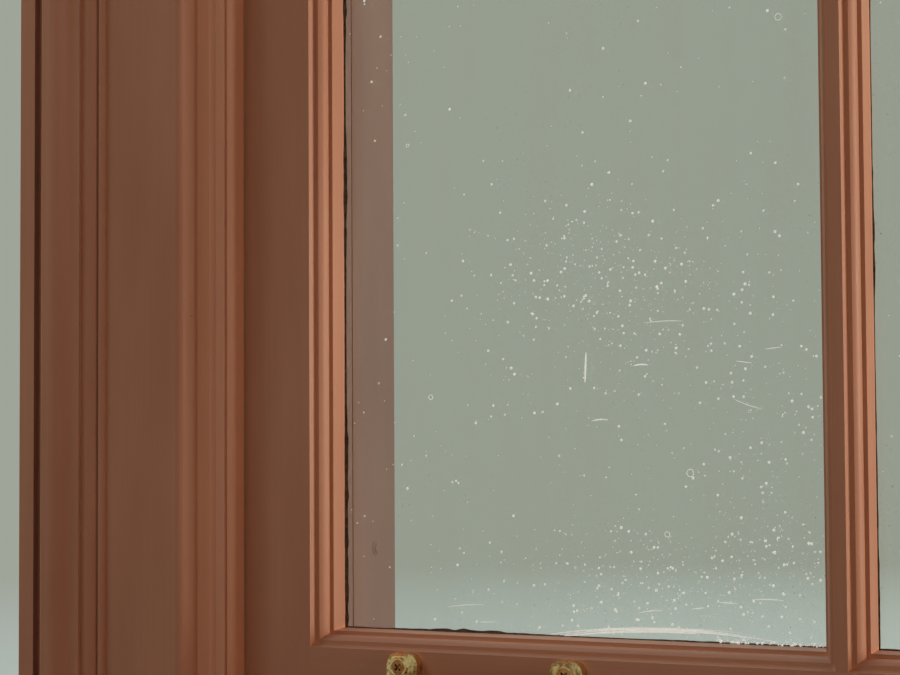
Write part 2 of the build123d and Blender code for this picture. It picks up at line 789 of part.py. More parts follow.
groove_root = wheel_cord_r - cord_r - cord_seat_gap
upper_weight_top = sill_h + weight_floor_gap + weight_l
for name, cord_y, weight_top, sash_top in (
    ("lower", lower_cord_y, pulley_z - lower_weight_drop, lower_top),
    ("upper", upper_cord_y, upper_weight_top, upper_top),
):
    with BuildPart() as wheel:
        with BuildSketch(Plane.XY):
            with BuildLine():
                half = wheel_t / 2
                bore = axle_r + axle_gap
                Polyline(
                    (bore, -wheel_hub_t / 2),
                    (wheel_hub_r, -wheel_hub_t / 2),
                    (wheel_hub_r, -half),
                    (wheel_rim_r, -half),
                    (wheel_rim_r, -half + wheel_land),
                )
                ThreePointArc(
                    (wheel_rim_r, -half + wheel_land),
                    (groove_root, 0),
                    (wheel_rim_r, half - wheel_land),
                )
                Polyline(
                    (wheel_rim_r, half - wheel_land),
                    (wheel_rim_r, half),
                    (wheel_hub_r, half),
                    (wheel_hub_r, wheel_hub_t / 2),
                    (bore, wheel_hub_t / 2),
                    (bore, -wheel_hub_t / 2),
                )
            make_face()
        revolve(axis=Axis.Y)
    with BuildPart() as placed_wheel:
        with Locations((axle_x, cord_y, pulley_z)):
            add(wheel.part)
    save_pair(placed_wheel, f"{name}_pulley_wheel")

    weight_foot = weight_top - weight_l
    with BuildPart() as weight:
        with BuildSketch(Plane.XZ.offset(-cord_y)):
            with BuildLine():
                Polyline(
                    (weight_x, weight_foot),
                    (weight_x + weight_r - weight_foot_chamfer, weight_foot),
                    (weight_x + weight_r, weight_foot + weight_foot_chamfer),
                    (weight_x + weight_r, weight_top - weight_shoulder),
                    (weight_x + weight_neck_r, weight_top),
                    (weight_x, weight_top),
                    (weight_x, weight_foot),
                )
            make_face()
        revolve(axis=Axis((weight_x, cord_y, 0), (0, 0, 1)))
        with Locations((weight_x, cord_y, weight_top)):
            Hole(weight_eye_r, depth=weight_eye_d)
    save_pair(weight, f"{name}_weight")

    knot_z = sash_top - cord_groove_l
    with BuildPart() as cord:
        with BuildLine():
            Line((cord_x, cord_y, knot_z), (cord_x, cord_y, pulley_z))
            ThreePointArc(
                (cord_x, cord_y, pulley_z),
                (axle_x, cord_y, pulley_z + wheel_cord_r),
                (weight_x, cord_y, pulley_z),
            )
            Line((weight_x, cord_y, pulley_z), (weight_x, cord_y, weight_top - weight_cord_in))
        with BuildSketch(Plane.XY.offset(knot_z)):
            with Locations((cord_x, cord_y)):
                Circle(cord_r)
        sweep()
        with Locations((cord_x, cord_y, knot_z)):
            Sphere(knot_r)
    save_pair(cord, f"{name}_sash_cord")

# Sash lifts and their screws

lift_z = sum(lift_screw_heights()) / 2
lift_front_y = lower_y - lift_foot_t - lift_collar_t


def lift_foot(x, inward):
    """A foot with bevelled edges and a raised, countersunk collar round each screw."""
    middle = (x + inward * (lift_foot_inner - lift_foot_outer) / 2, lift_z)
    plate_t = lift_foot_t - lift_edge
    for depth, amount, taper in ((0, plate_t, 0), (plate_t, lift_edge, lift_edge_taper)):
        with BuildSketch(Plane.XZ.offset(-lower_y + depth)) as outline:
            with Locations(middle):
                RectangleRounded(lift_foot_outer + lift_foot_inner, lift_foot_h, lift_foot_round)
        extrude(outline.sketch, amount=amount, taper=taper)
    for z in lift_screw_heights():
        with BuildSketch(Plane.XZ.offset(-lower_y + plate_t)) as collar:
            with Locations((x, z)):
                Circle(lift_collar_r)
        extrude(collar.sketch, amount=lift_edge + lift_collar_t, taper=lift_collar_taper)
        with Locations(Plane(origin=(x, lift_front_y, z), z_dir=(0, -1, 0))):
            CounterSinkHole(
                screw_hole_r,
                screw_head_r + screw_gap,
                depth=lower_y - lift_front_y,
                counter_sink_angle=screw_angle,
            )


def lift_bow(left_x, right_x):
    """The bar that the fingers pull, bent back at both ends to meet the feet."""
    root_y = lower_y - lift_foot_t + lift_bow_root
    bar_y = lower_y - lift_reach
    with BuildLine(Plane.XY.offset(lift_z)) as path:
        FilletPolyline(
            (left_x, root_y), (left_x, bar_y), (right_x, bar_y), (right_x, root_y), radius=lift_bow_bend
        )
    with BuildSketch(Plane(origin=(left_x, root_y, lift_z), z_dir=(0, -1, 0))) as section:
        Circle(lift_bow_r)
    sweep(section.sketch, path=path.line)


for name, centre in zip(("left", "right"), lift_centres()):
    with BuildPart() as lift:
        for side in (-1, 1):
            lift_foot(centre + side * lift_screw_pitch / 2, -side)
        bow_half = lift_screw_pitch / 2 - lift_bow_in
        lift_bow(centre - bow_half, centre + bow_half)
    save(lift, f"sash_lift_{name}")

with BuildPart() as screw:
    with BuildSketch(Plane.XY):
        head_d = (screw_head_r - screw_shank_r) / math.tan(math.radians(screw_angle / 2))
        with BuildLine():
            dome_mid = (screw_head_r / 2, -screw_dome * 3 / 4)
            ThreePointArc((0, -screw_dome), dome_mid, (screw_head_r, 0))
            Polyline(
                (screw_head_r, 0),
                (screw_shank_r, head_d),
                (screw_shank_r, screw_l - screw_point_l),
                (0, screw_l),
                (0, -screw_dome),
            )
        make_face()
    revolve(axis=Axis.Y)
    for turn in (45, 135):
        with BuildSketch(Plane.XZ.offset(screw_dome)):
            Rectangle(screw_recess_l, screw_recess_w, rotation=turn)
        extrude(amount=-screw_recess_d, mode=Mode.SUBTRACT)

with BuildPart() as lift_screws:
    with Locations(*[(x, lift_front_y, z) for x, z in lift_screw_places()]):
        add(screw.part)
save(lift_screws, "lift_screws")

# Sash fastener on the meeting rails

pivot_y = lower_y + fastener_depth
plate_z = lower_top + fastener_plate_t
arm_z = plate_z + fastener_boss_h + arm_gap

with BuildPart() as fastener_base:
    with BuildSketch(Plane.XY.offset(lower_top)):
        with Locations((0, pivot_y)):
            RectangleRounded(fastener_plate_w, fastener_plate_d, fastener_plate_round)
    extrude(amount=fastener_plate_t)
    with BuildSketch(Plane.XY.offset(plate_z)):
        with Locations((0, pivot_y)):
            Circle(fastener_boss_r)
    extrude(amount=fastener_boss_h)
    with BuildSketch(Plane.XY.offset(plate_z + fastener_boss_h)):
        with Locations((0, pivot_y)):
            Circle(fastener_pin_r)
    extrude(amount=fastener_pin_h)
save(fastener_base, "fastener_base")

with BuildPart() as fastener_arm:
    with BuildSketch(Plane.XY.offset(arm_z)):
        with Locations((0, pivot_y)):
            Circle(arm_hub_r)
        with Locations((arm_l / 2, pivot_y)):
            Rectangle(arm_l, arm_w)
        with Locations((arm_l, pivot_y)):
            Circle(arm_w / 2)
    extrude(amount=arm_t)
    with Locations((-arm_hub_r, pivot_y, arm_z + arm_t)):
        Cylinder(arm_knob_neck_r, arm_knob_h, align=(Align.CENTER, Align.CENTER, Align.MIN))
    with Locations((-arm_hub_r, pivot_y, arm_z + arm_t + arm_knob_h)):
        Sphere(arm_knob_r)
    with BuildSketch(Plane.XY.offset(arm_z)):
        with Locations((0, pivot_y)):
            Circle(fastener_pin_r + fastener_pin_gap)
    extrude(amount=arm_t, mode=Mode.SUBTRACT)
save(fastener_arm, "fastener_arm")

keep_roof_z = arm_z + arm_t + keep_gap
with BuildPart() as fastener_keep:
    post_x = -arm_w / 2 - keep_gap - keep_post_w
    span_box((-keep_w / 2, keep_w / 2), (keep_y, keep_y + keep_d), (lower_top, lower_top + keep_t))
    span_box((post_x, post_x + keep_post_w), (keep_y, keep_y + keep_d), (lower_top, keep_roof_z))
    span_box(
        (post_x, post_x + keep_post_w + keep_roof_reach),
        (keep_y, keep_y + keep_d),
        (keep_roof_z, keep_roof_z + keep_roof_t),
    )
save(fastener_keep, "fastener_keep")
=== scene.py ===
# %% [markdown]
# # An old painted sash window
#
# The window is a timber box frame with two sliding sashes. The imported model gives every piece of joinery
# at its true size, and this file gives the looks: many coats of salmon oil paint, dusty glass with a dirty
# line where it meets the wood, tarnished brass lifts, bare boards inside the weight boxes, and the cords.

import math

import bpy
import numpy as np
from mathutils import Matrix, Vector


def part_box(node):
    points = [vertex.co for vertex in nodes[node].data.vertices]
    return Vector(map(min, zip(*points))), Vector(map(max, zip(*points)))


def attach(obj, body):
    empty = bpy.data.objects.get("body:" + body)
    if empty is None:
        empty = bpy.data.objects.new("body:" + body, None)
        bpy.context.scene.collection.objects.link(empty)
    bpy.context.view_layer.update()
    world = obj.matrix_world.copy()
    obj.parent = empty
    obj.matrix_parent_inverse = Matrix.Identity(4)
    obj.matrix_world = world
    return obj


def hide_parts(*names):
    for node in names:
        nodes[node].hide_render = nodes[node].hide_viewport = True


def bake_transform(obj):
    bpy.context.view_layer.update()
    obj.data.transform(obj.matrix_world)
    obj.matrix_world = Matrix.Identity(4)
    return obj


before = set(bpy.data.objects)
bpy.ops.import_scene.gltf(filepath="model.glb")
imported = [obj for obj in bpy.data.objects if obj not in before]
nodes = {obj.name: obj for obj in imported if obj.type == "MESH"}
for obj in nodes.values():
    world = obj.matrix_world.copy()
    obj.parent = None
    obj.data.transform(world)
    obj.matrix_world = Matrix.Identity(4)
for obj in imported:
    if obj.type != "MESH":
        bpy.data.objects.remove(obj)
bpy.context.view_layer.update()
MM = 0.001

# %% [markdown]
# ## Where things are
#
# Pieces added here sit on the joinery, so their places are read from the frame. The sash's face and the
# arris where its moulding starts fix nearly everything.

# %% Places read from the frame
stile_low, stile_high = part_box("lower_stile_left")
mould_w = 8.3 * MM
sash_face = stile_low.y
sight_left = stile_high.x
sight_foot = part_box("lower_bottom_rail")[1].z
arris_left = sight_left - mould_w
arris_foot = sight_foot - mould_w
pane_w, pane_h = 265.6 * MM, 400.0 * MM
bar_w = 22.5 * MM
print("pane sight corner", round(sight_left, 4), round(sight_foot, 4))

# %% [markdown]
# ## The camera
#
# The photograph was taken from indoors with a long lens, close to the lower left corner and from the
# right of square. These values were fitted to the edges of the moulding, the bar and the rail. The camera
# is placed from the corner where the stile's and the rail's arrises meet, and turned about the upright
# axis, then up, then rolled a little.

# %% Camera
FRAME_W, FRAME_H = 900, 675
FOCAL_PX = 2070.06
SENSOR_W = 36
NEAREST, FARTHEST = 0.05, 30
camera_offset = Vector((560.28, -938.98, 111.32)) * MM
yaw, pitch, roll = math.radians(26.93), math.radians(2.64), math.radians(-0.33)

forward = Vector(
    (-math.sin(yaw) * math.cos(pitch), math.cos(yaw) * math.cos(pitch), math.sin(pitch))
)
level = Vector((math.cos(yaw), math.sin(yaw), 0))
rise = level.cross(forward)
right = level * math.cos(roll) + rise * math.sin(roll)
up = rise * math.cos(roll) - level * math.sin(roll)

camera_data = bpy.data.cameras.new("camera")
camera_data.sensor_width = SENSOR_W
camera_data.lens = SENSOR_W * FOCAL_PX / FRAME_W
camera_data.clip_start, camera_data.clip_end = NEAREST, FARTHEST
camera = bpy.data.objects.new("camera", camera_data)
bpy.context.scene.collection.objects.link(camera)
eye = Vector((arris_left, sash_face, arris_foot)) + camera_offset
axes = Matrix((right, up, -forward)).transposed().to_4x4()
camera.matrix_world = Matrix.Translation(eye) @ axes
bpy.context.scene.camera = camera
print("camera at", [round(v, 3) for v in eye], "lens", round(camera_data.lens, 1))


# %% Pixels of the photograph, put on the model
def rays(pixels):
    """Directions from the eye through an array of pixels, shape (..., 2)."""
    pixels = np.asarray(pixels, dtype=float)
    across = pixels[..., :1] - FRAME_W / 2
    above = FRAME_H / 2 - pixels[..., 1:]
    return np.array(forward) * FOCAL_PX + np.array(right) * across + np.array(up) * above


def at_depth(pixels, depth):
    """Where the rays through pixels meet the upright plane on which Y is the depth."""
    ray = rays(pixels)
    return np.array(eye) + ray * ((depth - eye.y) / ray[..., 1:2])


# %% [markdown]
# ## Writing shader maths as Python
#
# A material is a graph of nodes, and its arithmetic reads best as an expression. `Number` wraps one
# socket and turns + - * into Math nodes. `Finish` starts a material and has one method that makes any
# other node: its type, its settings, then the values or links of its sockets.


# %% Number and Finish
class Number:
    """A value that varies over a surface."""

    def __init__(self, finish, socket):
        self.finish = finish
        self.socket = socket

    def math(self, operation, first, second=0.0, clamp=False):
        """A Math node of one operation."""
        settings = {"operation": operation, "use_clamp": clamp}
        made = self.finish.node("ShaderNodeMath", settings, {0: first, 1: second})
        return Number(self.finish, made.outputs[0])

    def __add__(self, other):
        return self.math("ADD", self, other)

    def __radd__(self, other):
        return self.math("ADD", other, self)

    def __sub__(self, other):
        return self.math("SUBTRACT", self, other)

    def __rsub__(self, other):
        return self.math("SUBTRACT", other, self)

    def __mul__(self, other):
        return self.math("MULTIPLY", self, other)

    def __rmul__(self, other):
        return self.math("MULTIPLY", other, self)

    def power(self, exponent):
        return self.math("POWER", self, exponent)

    def sine(self):
        return self.math("SINE", self)

    def clamped(self):
        """Held between 0 and 1."""
        return self.math("ADD", self, 0.0, clamp=True)

    def between(self, low, high):
        """0 at low, 1 at high, straight in between and held beyond."""
        node = self.finish.node(
            "ShaderNodeMapRange", {"clamp": True}, {"Value": self, "From Min": low, "From Max": high}
        )
        return Number(self.finish, node.outputs[0])


# A Mix node has sockets for other kinds of data before those for colours.
MIX_AMOUNT, MIX_FIRST, MIX_SECOND, MIX_RESULT = 0, 6, 7, 2


class Finish:
    """One material, with its Principled shader and short ways to make nodes."""

    def __init__(self, name, **steady):
        self.material = bpy.data.materials.new(name)
        self.material.use_nodes = True
        self.tree = self.material.node_tree
        self.tree.nodes.clear()
        self.output = self.tree.nodes.new("ShaderNodeOutputMaterial")
        self.shader = self.node("ShaderNodeBsdfPrincipled", {}, steady)
        self.tree.links.new(self.shader.outputs[0], self.output.inputs["Surface"])

    def node(self, kind, settings=None, inputs=None):
        """A new node with its settings, and with its sockets fed by name or number."""
        made = self.tree.nodes.new(kind)
        for name, value in (settings or {}).items():
            setattr(made, name, value)
        for name, value in (inputs or {}).items():
            self.feed(made, name, value)
        return made

    def feed(self, node, name, value):
        """Link a socket, or set its value."""
        if isinstance(value, Number):
            value = value.socket
        if isinstance(value, bpy.types.NodeSocket):
            self.tree.links.new(value, node.inputs[name])
        elif isinstance(value, tuple) and len(value) == 3 and node.inputs[name].type == "RGBA":
            node.inputs[name].default_value = (*value, 1)
        else:
            node.inputs[name].default_value = value

    def place(self, scale=(1, 1, 1), shift=(0, 0, 0)):
        """Object coordinates, stretched and moved."""
        where = self.node("ShaderNodeTexCoord").outputs["Object"]
        inputs = {"Vector": where, "Scale": scale, "Location": shift}
        return self.node("ShaderNodeMapping", {}, inputs).outputs[0]

    def noise(self, scale, where, detail=3.0, rough=0.5):
        """Cloudy noise, mostly between 0.3 and 0.7."""
        inputs = {"Vector": where, "Scale": scale, "Detail": detail, "Roughness": rough}
        return Number(self, self.node("ShaderNodeTexNoise", {}, inputs).outputs[0])

    def cells(self, scale, where, feature="F1"):
        """Distance to the middle of the nearest random cell, or to the nearest edge between cells."""
        node = self.node("ShaderNodeTexVoronoi", {"feature": feature}, {"Vector": where, "Scale": scale})
        return Number(self, node.outputs["Distance"])

    def mix(self, amount, first, second):
        """Two colours mixed by an amount from 0 to 1."""
        inputs = {MIX_AMOUNT: amount, MIX_FIRST: first, MIX_SECOND: second}
        return self.node("ShaderNodeMix", {"data_type": "RGBA"}, inputs).outputs[MIX_RESULT]

    def crevice(self, distance):
        """1 in tight corners and 0 on open faces."""
        node = self.node("ShaderNodeAmbientOcclusion", {"samples": 4}, {"Distance": distance})
        return 1 - Number(self, node.outputs["AO"])

    def bump(self, height, depth, strength):
        """Turn a height from 0 to 1 into a normal, depth in metres."""
        inputs = {"Height": height, "Distance": depth, "Strength": strength}
        self.feed(self.shader, "Normal", self.node("ShaderNodeBump", {}, inputs).outputs[0])


def linear(red, green, blue):
    """A colour given as it looks on the screen, 0 to 255, as linear light."""
    parts = [c / 255 for c in (red, green, blue)]
    return tuple(c / 12.92 if c <= 0.04045 else ((c + 0.055) / 1.055) ** 2.4 for c in parts)


# %% [markdown]
# ## Salmon oil paint
#
# The woodwork has many coats of satin oil paint. The brush ran along each piece, so the marks are a
# noise stretched along the grain. Between coats nibs of dust were caught. Ambient occlusion finds the
# tight corners. There a dark tone paints shade along with some dirt, and in the quirks a paler, stronger
# tone paints light that lifts their shade.

# %% Painted timber
PAINT = linear(168, 116, 93)
PAINT_DEEP = linear(152, 100, 77)
PAINT_PALE = linear(184, 134, 111)
BEAD = linear(198, 141, 116)
BEAD_DEEP = linear(182, 125, 100)
BEAD_PALE = linear(212, 156, 131)
# The outdoor tones are the salmon paint made darker and greyer: painted shade.
SHADED_PAINT = linear(103, 77, 67)
SHADED_PAINT_DEEP = linear(86, 62, 53)
SHADED_PAINT_PALE = linear(121, 95, 84)
# A dark tone: dirt in the putty's cracks, and painted shade with some dirt in the corners of the paint.
GRIME_AND_SHADE = linear(62, 36, 22)
# A paler, stronger tone that paints light into the quirks of the paint.
CORNER_LIGHT_TONE = linear(238, 168, 126)
LYING, UPRIGHT = 0, 2


def along_grain(grain, across, along):
    """Scales of a pattern that is stretched along the grain axis."""
    scale = [across, across, across]
    scale[grain] = along
    return scale


def painted_timber(name, grain, tones, dirt=0.35, pooled=0.0, rough=0.42):
    """Paint brushed along the grain axis: 0 for X, 1 for Y, 2 for Z. Tones are main, deep and pale.

    In the corners a dark tone paints shade along with some dirt, and a paler, stronger tone paints light.
    """
    main_tone, deep_tone, pale_tone = tones
    finish = Finish(name, **{"Specular IOR Level": 0.25})
    brush = finish.noise(1.0, finish.place(along_grain(grain, 700.0, 9.0)), detail=4.0, rough=0.6)
    broad = finish.noise(1.0, finish.place(along_grain(grain, 26.0, 5.0)))
    skin = finish.noise(900.0, finish.place(), detail=2.0)
    nib = finish.cells(150.0, finish.place()).between(0.075, 0.045)
    nib = nib * finish.noise(40.0, finish.place(), detail=1.0).between(0.52, 0.60)

    tone = finish.mix(broad.between(0.30, 0.70), deep_tone, pale_tone)
    tone = finish.mix(0.55, tone, main_tone)
    tone = finish.mix(brush.between(0.35, 0.75) * 0.22, tone, deep_tone)
    tone = finish.mix(nib * 0.35, tone, pale_tone)
    # Painted shade, with some dirt: the tight corners turn dark.
    corner = finish.crevice(9 * MM).between(0.40, 0.98)
    tone = finish.mix(corner * dirt * broad.between(0.1, 0.6), tone, GRIME_AND_SHADE)
    # Painted light: the quirks turn paler and stronger in colour, lifting their shade.
    tone = finish.mix(finish.crevice(3.5 * MM).between(0.20, 0.75) * pooled, tone, CORNER_LIGHT_TONE)
    finish.feed(finish.shader, "Base Color", tone)
    gloss = rough + 0.14 * (brush - 0.5) + 0.10 * (broad - 0.5)
    finish.feed(finish.shader, "Roughness", gloss.clamped())
    finish.bump(brush * 0.6 + skin * 0.15 + nib * 0.8, 0.22 * MM, 0.6)
    return finish.material


def both_ways(name, tones, **looks):
    """One paint for pieces that lie along X and one for upright pieces."""
    return {grain: painted_timber(f"{name} {grain}", grain, tones, **looks) for grain in (LYING, UPRIGHT)}


INDOORS = (PAINT, PAINT_DEEP, PAINT_PALE)
FRESH = (BEAD, BEAD_DEEP, BEAD_PALE)
SHADED_OUTDOORS = (SHADED_PAINT, SHADED_PAINT_DEEP, SHADED_PAINT_PALE)
# The dirt setting scales the dark corner tone, painted shade with some dirt; the other corner setting scales
# the painted light in the quirks.
frame_paint = both_ways("frame paint", INDOORS, dirt=0.2, pooled=0.3)
sash_paint = both_ways("sash paint", INDOORS, dirt=0.0, pooled=0.8)
bead_paint = both_ways("bead paint", FRESH, dirt=0.1, pooled=0.5)
# Outdoor pieces get the darker, greyer tones, which are painted shade.
shaded_outdoor_paint = both_ways("shaded outdoor paint", SHADED_OUTDOORS, rough=0.62)

# %% [markdown]
# ## Bare boards
#
# Inside the weight boxes nothing was ever painted. Softwood shows rings as long stripes, made from a wave
# whose bands are bent by noise, with darker late wood and a dusty face.


# %% Bare softwood
EARLY_WOOD, LATE_WOOD = linear(196, 158, 112), linear(150, 104, 62)
PORE_BROWN, BOARD_DUST = linear(98, 66, 40), linear(120, 104, 88)


def bare_softwood(name, grain):
    """Stripes of early and late wood along the grain, with dark pores and patches of dust."""
    finish = Finish(name, **{"Roughness": 0.75})
    where = finish.place(along_grain(grain, 60.0, 3.0))
    settings = {"wave_type": "RINGS", "rings_direction": "XYZ"[grain]}
    inputs = {"Vector": where, "Scale": 0.9, "Distortion": 3.5, "Detail": 3.0, "Detail Scale": 1.2}
    rings = Number(finish, finish.node("ShaderNodeTexWave", settings, inputs).outputs["Fac"])
    pores = finish.noise(1.0, finish.place(along_grain(grain, 1400.0, 30.0)), detail=2.0)
    dusty = finish.noise(9.0, finish.place()).between(0.45, 0.8)
    tone = finish.mix(rings, EARLY_WOOD, LATE_WOOD)
    tone = finish.mix(pores.between(0.55, 0.8) * 0.4, tone, PORE_BROWN)
    tone = finish.mix(dusty * 0.5, tone, BOARD_DUST)
    finish.feed(finish.shader, "Base Color", tone)
    finish.bump(rings * 0.4 + pores * 0.6, 0.25 * MM, 0.5)
    return finish.material


bare_wood = {grain: bare_softwood(f"bare softwood {grain}", grain) for grain in (LYING, UPRIGHT)}

# %% [markdown]
# ## Glass that has not been washed
#
# Window glass is nearly invisible until light catches the dust on it. The clean part lets light straight
# through and only mirrors at a slant, so it mixes a transparent and a glossy shader by 0.04 + 0.96 s^5,
# where s is 0 seen square on and 1 edge on. On top lies a thin matt layer of dust whose share changes from
# place to place: a haze in faint runs, with fine and coarse specks in patches.


# %% Dusty glass
def dusty_glass(name):
    """Clear glass under matt dust, whose share is 0.028 + 0.05 haze runs + 0.30 fine + 0.45 coarse specks."""
    finish = Finish(name, **{"Base Color": (*linear(226, 224, 214), 1), "Roughness": 0.9})
    haze = finish.noise(7.0, finish.place(), detail=4.0).between(0.35, 0.75)
    runs = finish.noise(1.0, finish.place((55, 55, 7)), detail=3.0).between(0.45, 0.75)
    fine = finish.cells(420.0, finish.place()).between(0.16, 0.07)
    coarse = finish.cells(140.0, finish.place()).between(0.085, 0.05)
    patch = finish.noise(11.0, finish.place(shift=(3, 0, 1)), detail=3.0).between(0.46, 0.68)
    dust = 0.028 + 0.05 * haze * runs + fine * patch * 0.30 + coarse * patch * 0.45
    clear = finish.node("ShaderNodeBsdfTransparent", {}, {"Color": (0.93, 0.955, 0.94)})
    mirror = finish.node("ShaderNodeBsdfGlossy", {}, {"Roughness": 0.03, "Color": (1.0, 1.0, 1.0)})
    slant = Number(finish, finish.node("ShaderNodeLayerWeight", {}, {"Blend": 0.5}).outputs["Facing"])
    mirrored = 0.04 + 0.96 * slant.power(5.0)
    parts = {0: mirrored, 1: clear.outputs[0], 2: mirror.outputs[0]}
    pane = finish.node("ShaderNodeMixShader", {}, parts)
    parts = {0: dust.clamped(), 1: pane.outputs[0], 2: finish.shader.outputs[0]}
    dusted = finish.node("ShaderNodeMixShader", {}, parts)
    finish.tree.links.new(dusted.outputs[0], finish.output.inputs["Surface"])
    return finish.material


window_glass = dusty_glass("dusty window glass")

# %% [markdown]
# ## Brass, iron and cord
#
# The lifts are cast brass, bright in some patches and brown in others. The weights are rough cast iron,
# and the cord is braided cotton.


# %% Metals
SPOTTED, BRASS_GRIME_AND_SHADE = linear(92, 76, 50), linear(54, 34, 16)
IRON, RUST = linear(58, 54, 52), linear(104, 60, 38)


def aged_brass(name, tarnish, rough, clean, brown):
    """Brass with brown tarnish in patches, which is partly matt, and a dark tone in its corners that is
    painted shade and grime.
    """
    finish = Finish(name)
    patches = finish.noise(330.0, finish.place(), detail=4.0, rough=0.6)
    pits = finish.noise(1100.0, finish.place(), detail=3.0)
    dull = (patches.between(0.42, 0.64) * tarnish).clamped()
    tone = finish.mix(dull, clean, brown)
    tone = finish.mix(pits.between(0.56, 0.70) * tarnish * 0.7, tone, SPOTTED)
    # Painted shade with grime: the tight corners turn dark.
    tone = finish.mix(finish.crevice(1.6 * MM).between(0.35, 0.8), tone, BRASS_GRIME_AND_SHADE)
    finish.feed(finish.shader, "Base Color", tone)
    finish.feed(finish.shader, "Metallic", 1 - 0.35 * dull)
    finish.feed(finish.shader, "Roughness", (rough + 0.25 * dull + 0.10 * (pits - 0.5)).clamped())
    finish.bump(pits * 0.3 + patches * 0.7, 0.16 * MM, 0.6)
    return finish.material


def cast_iron(name):
    """Iron cast in sand, grey with patches of rust."""
    finish = Finish(name, **{"Metallic": 0.6})
    sand = finish.noise(500.0, finish.place(), detail=4.0)
    rust = finish.noise(30.0, finish.place(), detail=4.0).between(0.50, 0.66)
    finish.feed(finish.shader, "Base Color", finish.mix(rust, IRON, RUST))
    finish.feed(finish.shader, "Roughness", (0.62 + 0.25 * rust).clamped())
    finish.bump(sand, 0.5 * MM, 0.8)
    return finish.material


lift_brass = aged_brass("lift brass", 0.8, 0.10, linear(255, 220, 156), linear(120, 92, 54))
screw_brass = aged_brass("screw brass", 0.7, 0.20, linear(214, 150, 92), linear(130, 70, 40))
pulley_brass = aged_brass("pulley brass", 0.9, 0.34, linear(226, 200, 140), linear(124, 98, 62))
weight_iron = cast_iron("weight iron")


# %% Old putty, painted over and cracked
def painted_putty(name):
    """Lumpy putty in the darker outdoor tones, which are painted shade, with dirt in its fine cracks."""
    finish = Finish(name, **{"Roughness": 0.6})
    crack = finish.cells(70.0, finish.place(), "DISTANCE_TO_EDGE").between(0.05, 0.0)
    lumps = finish.noise(160.0, finish.place(), detail=3.0)
    # Both tones are the outdoor paint's painted shade.
    tone = finish.mix(lumps.between(0.3, 0.7), SHADED_PAINT_DEEP, SHADED_PAINT)
    tone = finish.mix(crack * lumps.between(0.45, 0.7), tone, GRIME_AND_SHADE)
    finish.feed(finish.shader, "Base Color", tone)
    finish.bump(lumps * 0.7 - crack * 0.5, 0.4 * MM, 0.7)
    return finish.material


putty_paint = painted_putty("painted putty")

# %% [markdown]
# ## Dressing the joinery
#
# Each piece gets the paint whose brush marks run its own way. A piece that is taller than it is wide is
# upright. The hidden boards stay bare.

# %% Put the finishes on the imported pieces
BARE = ("back_linings", "parting_slips", "head")
ALWAYS_UPRIGHT = ("back_linings", "parting_slips", "parting_beads", "pocket_pieces")


def finish_for(name, upright):
    """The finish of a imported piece, from its name and whether it stands upright."""
    if "panes" in name:
        return window_glass
    if "putty" in name:
        return putty_paint
    if "weight" in name:
        return weight_iron
    if "pulley_wheel" in name or name == "pulley_cases":
        return pulley_brass
    if name.startswith(("sash_lift", "fastener")):
        return lift_brass
    if name == "lift_screws":
        return screw_brass
    grain = UPRIGHT if upright else LYING
    if name in BARE:
        return bare_wood[grain]
    if name.startswith("staff_bead"):
        return bead_paint[grain]
    if name.startswith(("outer_", "sill")):
        return shaded_outdoor_paint[grain]
    if name.startswith(("lower_", "upper_")):
        return sash_paint[grain]
    return frame_paint[grain]


for name, piece in nodes.items():
    low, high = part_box(name)
    size = high - low
    upright = size.z > size.x or name in ALWAYS_UPRIGHT or name.endswith("vertical_bars")
    for material_slot in piece.material_slots:
        material_slot.link = "OBJECT"
        material_slot.material = finish_for(name, upright)
print("dressed", len(nodes), "pieces")

# %% [markdown]
# ## Surfaces from arrays
#
# Every added piece is a grid of points worked out as one array: rows along it and columns across or
# around it. A grid becomes quads by taking each point with its neighbours, and several grids can share
# one mesh. Random shapes use seeds, so they are the same each time.


# %% Grids, pieces and wandering numbers
def surface(points, closed=False):
    """Points and quads of a grid, rows by columns by 3. A closed grid joins its last column to its first."""
    rows, columns = points.shape[:2]
    index = np.arange(rows * columns).reshape(rows, columns)
    if closed:
        index = np.concatenate([index, index[:, :1]], axis=1)
    corners = (index[:-1, :-1], index[:-1, 1:], index[1:, 1:], index[1:, :-1])
    return points.reshape(-1, 3), np.stack(corners, axis=-1).reshape(-1, 4)


def piece_of(name, surfaces, material):
    """One object from several surfaces, with its finish."""
    starts = np.cumsum([0] + [len(points) for points, _ in surfaces[:-1]])
    points = np.concatenate([points for points, _ in surfaces])
    faces = np.concatenate([quads + start for (_, quads), start in zip(surfaces, starts)])
    mesh = bpy.data.meshes.new(name)
    mesh.from_pydata(points.tolist(), [], faces.tolist())
    mesh.materials.append(material)
    mesh.polygons.foreach_set("use_smooth", [True] * len(mesh.polygons))
    mesh.validate()
    mesh.update()
    thing = bpy.data.objects.new(name, mesh)
    bpy.context.scene.collection.objects.link(thing)
    return thing


def wander(places, spacing, seed):
    """A smooth random number from 0 to 1 along a line.

    Random knots stand one spacing apart, and between two of them the value follows half a cosine.
    """
    knots = np.random.default_rng(seed).random(int(places.max() / spacing) + 3)
    left = (places / spacing).astype(int)
    share = 0.5 - 0.5 * np.cos(np.pi * (places / spacing - left))
    return knots[left] * (1 - share) + knots[left + 1] * share


# %% [markdown]
# ## Dirt where the glass meets the wood
#
# Years of cleaning have pushed dirt into the corner between pane and moulding. It is a low fillet whose
# width and height wander along each edge, thick in some stretches and nearly gone in others.


